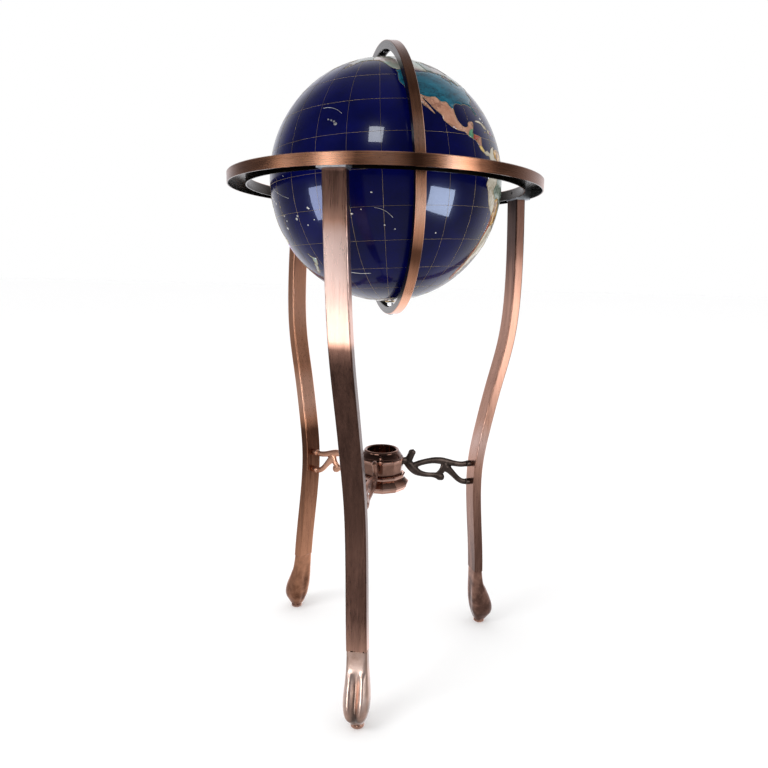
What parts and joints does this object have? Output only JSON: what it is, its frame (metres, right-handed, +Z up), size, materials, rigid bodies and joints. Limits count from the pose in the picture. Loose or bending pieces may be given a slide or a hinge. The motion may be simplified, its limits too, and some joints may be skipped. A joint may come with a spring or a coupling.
{
  "type": "floor-standing gemstone globe",
  "caption": "Inlaid stone globe on a pole axis in a meridian ring that tilts inside a horizon ring on three curved legs, with a scroll-braced compass cup between them.",
  "frame": {"origin": "on the floor under the centre of the horizon ring", "axes": "+Z up; the front leg stands towards -Y, the right leg at 30 degrees and the left leg at 150 degrees from +X"},
  "size_m": [0.4459, 0.446, 0.9147],
  "materials": {
    "ring_copper": "antique copper plate on steel, brushed along the ring, lacquered",
    "leg_copper": "antique copper plate on steel tube, brushed lengthwise, darkened in bands",
    "foot_copper": "polished copper plate on a casting, dark in the hollows",
    "cast_bronze": "dark antique copper on a casting",
    "hub_bronze": "antique copper, polished on the edges",
    "copper_fixings": "antique copper plated fixings",
    "zinc_plate": "zinc plated, satin",
    "bright_steel": "bright nickel",
    "brass": "polished brass",
    "nylon": "natural nylon",
    "globe_stone": "deep blue stone with inlaid stones, ground smooth and clear coated",
    "core_resin": "moulded resin"
  },
  "bodies": {
    "stand": {"horizon_ring": "ring_copper", "ring_block_front": "zinc_plate", "ring_block_right": "zinc_plate", "ring_block_left": "zinc_plate", "leg_cap_front": "zinc_plate", "leg_cap_right": "zinc_plate", "leg_cap_left": "zinc_plate", "leg_screws": "copper_fixings", "leg_front": "leg_copper", "leg_right": "leg_copper", "leg_left": "leg_copper", "foot_front": "foot_copper", "foot_right": "foot_copper", "foot_left": "foot_copper", "glide_front": "foot_copper", "glide_right": "foot_copper", "glide_left": "foot_copper", "arm_front": "cast_bronze", "arm_right": "cast_bronze", "arm_left": "cast_bronze", "arm_screws": "copper_fixings", "compass_cup": "hub_bronze", "hub_skirt": "hub_bronze", "hub_screw": "copper_fixings", "hub_washer": "copper_fixings", "hub_nut": "copper_fixings", "pivot_screw_near": "bright_steel", "pivot_screw_far": "bright_steel", "pivot_nuts": "bright_steel", "pivot_spacers": "brass"},
    "meridian": {"meridian_ring": "ring_copper", "pivot_bush_near": "brass", "pivot_bush_far": "brass", "pole_pin_north": "bright_steel", "pole_pin_south": "bright_steel", "pole_nuts": "bright_steel"},
    "globe": {"stone_skin_north": "globe_stone", "stone_skin_south": "globe_stone", "core_north": "core_resin", "core_south": "core_resin", "equator_band": "core_resin", "pole_bush_north": "brass", "pole_bush_south": "brass", "pole_washers": "nylon"}
  },
  "joints": [
    {"name": "ring_tilt", "type": "hinge", "parent": "stand", "child": "meridian", "pos_m": [0, 0, 0.729], "axis": [0.4083, -0.9128, 0], "continuous": true},
    {"name": "globe_spin", "type": "hinge", "parent": "meridian", "child": "globe", "pos_m": [0, 0, 0.729], "axis": [-0.051, -0.0228, 0.9984], "continuous": true}
  ]
}
